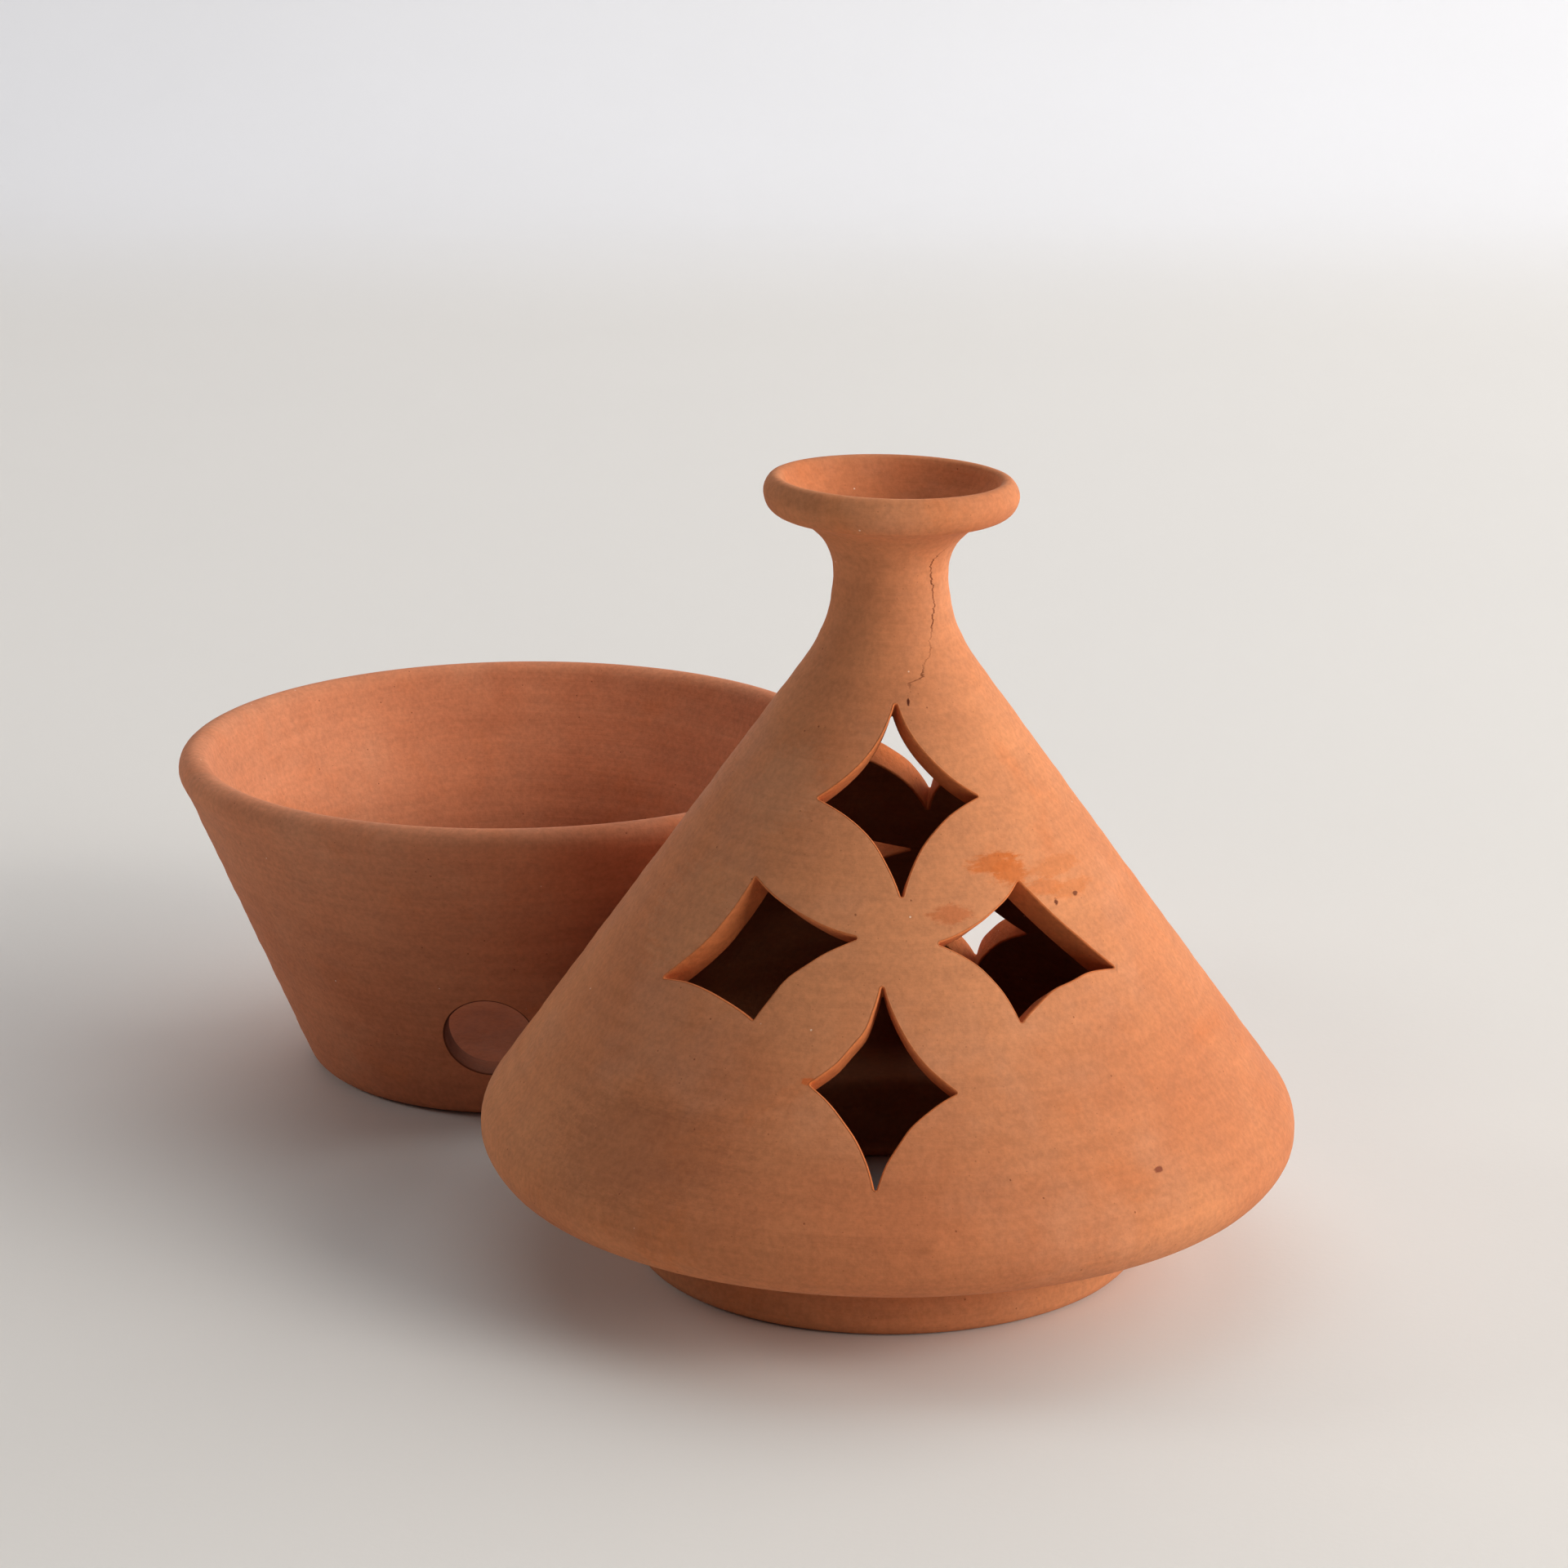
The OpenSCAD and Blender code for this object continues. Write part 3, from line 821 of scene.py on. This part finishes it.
# A drying crack wanders down the neck. The mesh stores how far to the side of its course each
# point lies, in millimetres, and the clay draws a hairline where that is near nought.
crack_z = np.array([88.6, 90.0, 92.0, 94.3, 96.0, 99.0, 102.0, 103.2, 105.2, 107.8])
crack_turn = np.radians([10, 21, 28, 33, 39, 44, 46, 39, 40, 57])
course = np.interp(z, crack_z, crack_turn)
lean = (np.interp(z + 0.3, crack_z, crack_turn) - np.interp(z - 0.3, crack_z, crack_turn)) / 0.6
crack_side = np.clip(wrapped(azimuth - course) * r / np.hypot(1, lean * r), -2, 2)
crack_here = (r > NECK_R - 2.5) * (np.abs(crack_side) < 1.5)
crack_here = crack_here * np.clip((z - 88) / 2, 0, 1) * np.clip((108 - z) / 2, 0, 1)

# The turning tool left a soft crease round the ring, and a crumb stuck to the flange.
push = -0.3 * np.exp(-(((z - 6.5) / 0.9) ** 2)) * (np.abs(r - RING_R) < 1)
crumb = ((azimuth - 0.08) * r / 1.5) ** 2 + ((z - 23) / 0.7) ** 2
push += 0.45 * np.exp(-crumb) * (r > 50)
lid_points[:, :2] *= (1 + push / np.maximum(r, 3))[:, None]

# Painted shade darkens the inside, all along the inner rows of the outline and a few more
# above the stars.
PAINTED_SHADE_ABOVE = 6
LID_PAINTED_SHADE = 0.75
inner_row = np.arange(len(lid_outline)) >= lid_inner_first - PAINTED_SHADE_ABOVE
lid_painted_shade = np.zeros(len(lid_points))
lid_painted_shade[:len(lid_outline) * LID_COLUMNS] = LID_PAINTED_SHADE * np.repeat(inner_row, LID_COLUMNS)

# The cup sagged a little to one side before it was fired.
lid_points[:, 2] -= 0.45 * np.clip((z - 104) / 12, 0, 1) * (1 + np.sin(azimuth)) * r / CUP_R

lid = solid_piece(
    "terracotta_lid", lid_points, lid_tris,
    {"cut": lid_cut, "painted_shade": lid_painted_shade, "crack_side": crack_side, "crack_here": crack_here},
    LID_AT,
)
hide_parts("lid")
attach(lid, "lid")


def on_lid(azimuth, z):
    """The place on the lid's outer face at an azimuth in degrees and a height."""
    x, y, z = spun(lid_outer_r(z), z, np.array(math.radians(azimuth))).tolist()
    return (LID_AT[0] + x * MM, LID_AT[1] + y * MM, z * MM)


SLIP, WASH, NICK, DUST = (198, 106, 50), (202, 118, 66), (92, 38, 20), (204, 144, 104)
lid.data.materials.append(fired_clay(
    "lid_fired_clay", (207, 136, 92), (190, 114, 74), (206, 110, 54), 5.1, [
        (on_lid(29, 66.4), (0.0040, 0.0040, 0.0014), SLIP, 0.85),
        (on_lid(33, 65.2), (0.0027, 0.0030, 0.0022), SLIP, 0.85),
        (on_lid(49, 64.4), (0.0060, 0.0060, 0.0012), WASH, 0.6),
        (on_lid(42, 62.4), (0.0036, 0.0036, 0.0010), SLIP, 0.5),
        (on_lid(51, 61.2), (0.0045, 0.0045, 0.0012), WASH, 0.6),
        (on_lid(14, 60.9), (0.0032, 0.0030, 0.0012), (192, 102, 56), 0.6),
        (on_lid(8.8, 86.8), (0.00022, 0.0005, 0.0010), NICK, 1.0),
        (on_lid(43.5, 60.3), (0.0004, 0.0005, 0.0006), NICK, 0.9),
        (on_lid(51, 60.6), (0.0006, 0.0006, 0.0004), NICK, 0.8),
        (on_lid(40, 27.9), (0.0008, 0.0007, 0.0004), (128, 62, 40), 0.9),
        (on_lid(-14.9, 41.3), (0.0010, 0.0010, 0.0005), (214, 106, 50), 0.8),
        (on_lid(-55, 57), (0.008, 0.008, 0.009), DUST, 0.3),
        (on_lid(-43, 75), (0.006, 0.006, 0.007), DUST, 0.3),
        # The broad darker patch low on the left side is painted shade, in the shaded side's colour.
        (on_lid(-40, 30), (0.016, 0.016, 0.007), (150, 92, 62), 0.3),
    ],
))

# ======================================================================================
# Table, light and camera.
# A pale table of matt card that curves up into a backdrop. Two windows on the right light
# it, and a small one on the left, a wide lamp overhead and a dim room lift the shadows.
# ======================================================================================
CARD_FRONT, CARD_BEND, CARD_TOP, CARD_SIDE = -2.5, 1.1, 2.6, 3.0
BEND_R, BEND_STEPS = 0.4, 25

bend = np.linspace(0, math.pi / 2, BEND_STEPS)
depth = np.concatenate([
    np.linspace(CARD_FRONT, CARD_BEND, BEND_STEPS),
    CARD_BEND + BEND_R * np.sin(bend[1:]), [CARD_BEND + BEND_R],
])
rise = np.concatenate([
    np.zeros(BEND_STEPS), BEND_R * (1 - np.cos(bend[1:])), [CARD_TOP],
])
ends = np.array([-CARD_SIDE, CARD_SIDE])
grid = np.stack([np.repeat(ends, len(depth)), np.tile(depth, 2), np.tile(rise, 2)], 1)
n = len(depth)
table = bpy.data.meshes.new("table_and_backdrop")
table.from_pydata(grid.tolist(), [], [(k, k + n, k + n + 1, k + 1) for k in range(n - 1)])
table.shade_smooth()
table_top = bpy.data.objects.new("table_and_backdrop", table)
bpy.context.scene.collection.objects.link(table_top)
paper = Nodes("matt_white_table")
along = paper.add("SeparateXYZ", {0: paper.place}).outputs["Y"]
far_away = paper.ramp(along, 0.75, 1.3)
tone = paper.mix(far_away, linear(229, 226, 222), linear(244, 244, 247))
tone = paper.mix(paper.ramp(paper.noise(6, 3), 0.3, 0.7, 0.0, 0.05), tone, linear(214, 212, 208))
paper.feed(paper.shader.inputs["Base Color"], tone)
paper.feed(paper.shader.inputs["Roughness"], 0.75)
paper.feed(paper.shader.inputs["Specular IOR Level"], 0.2)
fleck = paper.add("Bump", {"Height": paper.noise(900, 3), "Strength": 0.1, "Distance": 0.0002})
paper.feed(paper.shader.inputs["Normal"], fleck.outputs[0])
table.materials.append(paper.material)


def softbox(name, direction, distance, size, power, colour, towards=(0.03, -0.05, 0.05)):
    """A rectangular area light at a distance from a point, in the direction given as an azimuth
    from the front and an elevation in degrees, and facing the point."""
    azimuth, lift = math.radians(direction[0]), math.radians(direction[1])
    way = spun(math.cos(lift), math.sin(lift), np.array(azimuth))
    data = bpy.data.lights.new(name, "AREA")
    data.shape = "RECTANGLE"
    data.size, data.size_y = size
    data.energy, data.color = power, colour
    lamp = bpy.data.objects.new(name, data)
    lamp.location = np.array(towards) + way * distance
    lamp.rotation_euler = (math.pi / 2 - lift, 0, azimuth)
    bpy.context.scene.collection.objects.link(lamp)


softbox("key_window", (58, 22), 1.2, (0.6, 0.55), 7.2, (1.0, 0.96, 0.9))
softbox("wide_window", (96, 27), 1.6, (2.4, 1.1), 24.0, (1.0, 0.98, 0.95))
softbox("far_window", (-96, 25), 1.3, (0.4, 0.3), 2.7, (1.0, 0.97, 0.94))
softbox("ceiling", (180, 66), 1.7, (2.0, 2.0), 8.5, (0.97, 0.98, 1.0))
softbox("backdrop_lamp", (0, 58), 0.9, (1.4, 1.0), 2.4, (1.0, 1.0, 1.0), (0.0, 1.5, 0.5))
world = bpy.data.worlds.new("room")
world.use_nodes = True
world.node_tree.nodes["Background"].inputs["Color"].default_value = (0.95, 0.97, 1.0, 1)
world.node_tree.nodes["Background"].inputs["Strength"].default_value = 0.08
bpy.context.scene.world = world
bpy.context.scene.view_settings.view_transform = "Standard"

camera_data = bpy.data.cameras.new("camera")
camera_data.lens = 86.7
camera = bpy.data.objects.new("camera", camera_data)
camera.location = (0.0452, -0.6141, 0.2198)
camera.rotation_euler = (math.radians(90 - 15.76), 0, 0)
bpy.context.scene.collection.objects.link(camera)
bpy.context.scene.camera = camera
